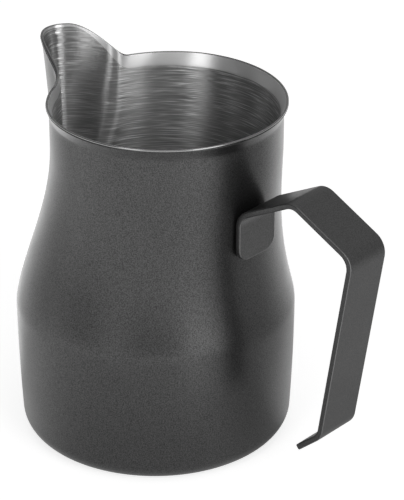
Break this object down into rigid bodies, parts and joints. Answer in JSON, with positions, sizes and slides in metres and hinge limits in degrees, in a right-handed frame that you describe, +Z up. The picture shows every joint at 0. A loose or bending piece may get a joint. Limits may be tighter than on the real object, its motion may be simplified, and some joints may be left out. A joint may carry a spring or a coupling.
{
  "type": "milk frothing pitcher",
  "caption": "Small steel pitcher with a rounded belly, narrow flared neck, pinched pouring spout and a bent flat strip handle, dark coated outside and bare inside.",
  "frame": {"origin": "centre of the flat base, on the surface the pitcher stands on", "axes": "+Z up along the belly's axis, +X towards the handle, -X towards the spout"},
  "size_m": [0.1266, 0.086, 0.1194],
  "materials": {
    "bare_steel": "brushed round the inside",
    "body_coat": "fine sandy satin",
    "handle_coat": "smooth satin",
    "weld_metal": "plain"
  },
  "bodies": {
    "root": {"body_shell": "bare_steel", "body_coat": "body_coat", "handle_strip": "handle_coat", "weld_nuggets": "weld_metal"}
  },
  "joints": []
}
